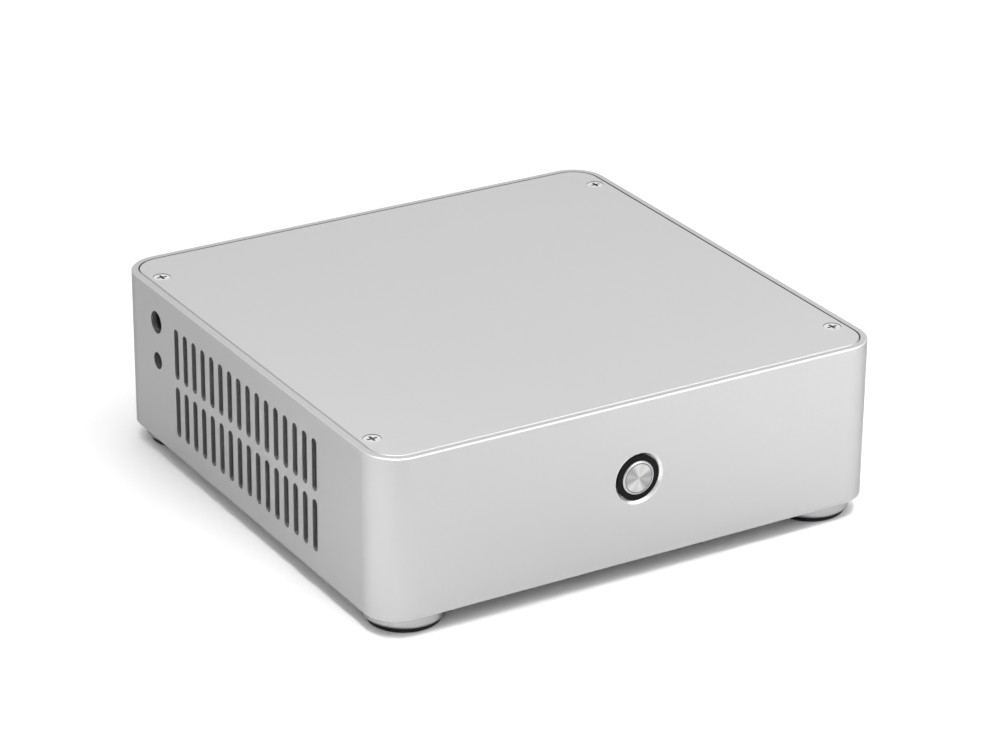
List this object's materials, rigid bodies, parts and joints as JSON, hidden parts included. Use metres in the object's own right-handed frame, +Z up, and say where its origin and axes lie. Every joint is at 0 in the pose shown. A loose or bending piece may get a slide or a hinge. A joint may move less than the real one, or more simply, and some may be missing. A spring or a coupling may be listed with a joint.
{
  "type": "compact desktop computer",
  "caption": "Low square desktop computer in an aluminium band with a lift-off top plate, slotted sides, round feet and a round front power button.",
  "frame": {"origin": "centre of the footprint on the surface the feet stand on", "axes": "+X to the right and +Y to the back seen from the front, +Z up; the power button faces -Y and the two round side holes are on the -X side"},
  "size_m": [0.2, 0.196, 0.0665],
  "materials": {
    "blasted_aluminium": "fine bead-blasted, clear anodised",
    "cover_aluminium": "fine bead-blasted, clear anodised",
    "turned_aluminium": "turned, fine concentric lines",
    "sink_aluminium": "extruded, clear anodised",
    "zinc_steel": "bright zinc plate",
    "stamped_steel": "stamped, satin nickel",
    "spring_steel": "drawn wire",
    "black_rubber": "matt moulded",
    "black_plastic": "fine moulded texture",
    "gloss_black": "polished",
    "filter_black": "woven nylon mesh",
    "board_green": "solder mask over glass fibre",
    "chip_black": "moulded epoxy",
    "silicon": "bare die on a green carrier",
    "ferrite_grey": "pressed ferrite",
    "can_aluminium": "satin drawn cans",
    "brass_standoff": "machined",
    "bronze": "sintered",
    "copper_winding": "enamelled wire on laminations",
    "painted_bridge": "black powder coat",
    "drive_black": "satin black",
    "lead_black": "smooth flexible sheath",
    "lead_red": "smooth flexible sheath",
    "plug_white": "nylon",
    "mica_clear": "insulating film"
  },
  "bodies": {
    "chassis": {"outer_band": "blasted_aluminium", "base_plate": "blasted_aluminium", "base_screws": "zinc_steel", "foot_shells": "blasted_aluminium", "foot_pads": "black_rubber", "foot_screws": "zinc_steel", "filter_frames": "black_plastic", "filter_meshes": "filter_black", "io_shield": "stamped_steel", "motherboard": "board_green", "board_standoffs": "brass_standoff", "board_screws": "zinc_steel", "processor": "silicon", "heatsink": "sink_aluminium", "heatsink_screws": "zinc_steel", "heatsink_springs": "spring_steel", "cooler_insulator": "mica_clear", "cooler_backplate": "stamped_steel", "fan_frame": "black_plastic", "fan_stator": "copper_winding", "fan_bearing": "bronze", "fan_screws": "zinc_steel", "fan_lead": "lead_black", "memory_sockets": "black_plastic", "memory_module_lower": "board_green", "memory_module_upper": "board_green", "usb2_stack": "stamped_steel", "usb3_stack": "stamped_steel", "video_port_left": "stamped_steel", "video_port_right": "stamped_steel", "lan_usb_stack": "stamped_steel", "audio_jacks": "black_plastic", "port_tongues": "black_plastic", "coin_cell_holder": "black_plastic", "coin_cell": "stamped_steel", "inductors": "ferrite_grey", "capacitors": "can_aluminium", "board_chips": "chip_black", "board_headers": "plug_white", "wireless_card": "board_green", "wireless_socket": "black_plastic", "wireless_screw": "brass_standoff", "drive_bridge": "painted_bridge", "drive_case": "drive_black", "drive_screws": "zinc_steel", "lead_plugs": "plug_white", "data_cable": "lead_red", "drive_power_lead": "lead_black", "dc_jack": "black_plastic", "dc_lead": "lead_red", "button_ring": "gloss_black", "button_nut": "stamped_steel", "button_terminals": "black_plastic", "button_lead": "lead_black"},
    "top_cover": {"top_cover": "cover_aluminium", "cover_screws": "zinc_steel"},
    "power_button": {"button_cap": "turned_aluminium", "button_plunger": "black_plastic", "button_spring": "spring_steel"},
    "fan_rotor": {"fan_rotor": "black_plastic"}
  },
  "joints": [
    {"name": "cover_lift", "type": "slide", "parent": "chassis", "child": "top_cover", "axis": [0, 0, 1], "range_m": [0, 0.1]},
    {"name": "button_press", "type": "slide", "parent": "chassis", "child": "power_button", "axis": [0, 1, 0], "range_m": [0, 0.0015], "stiffness_N_per_m": 900, "springref_m": -0.0005, "deforming": ["button_spring"]},
    {"name": "fan_spin", "type": "hinge", "parent": "chassis", "child": "fan_rotor", "pos_m": [0.002, 0.023, 0.0369], "axis": [0, 0, 1], "continuous": true}
  ]
}
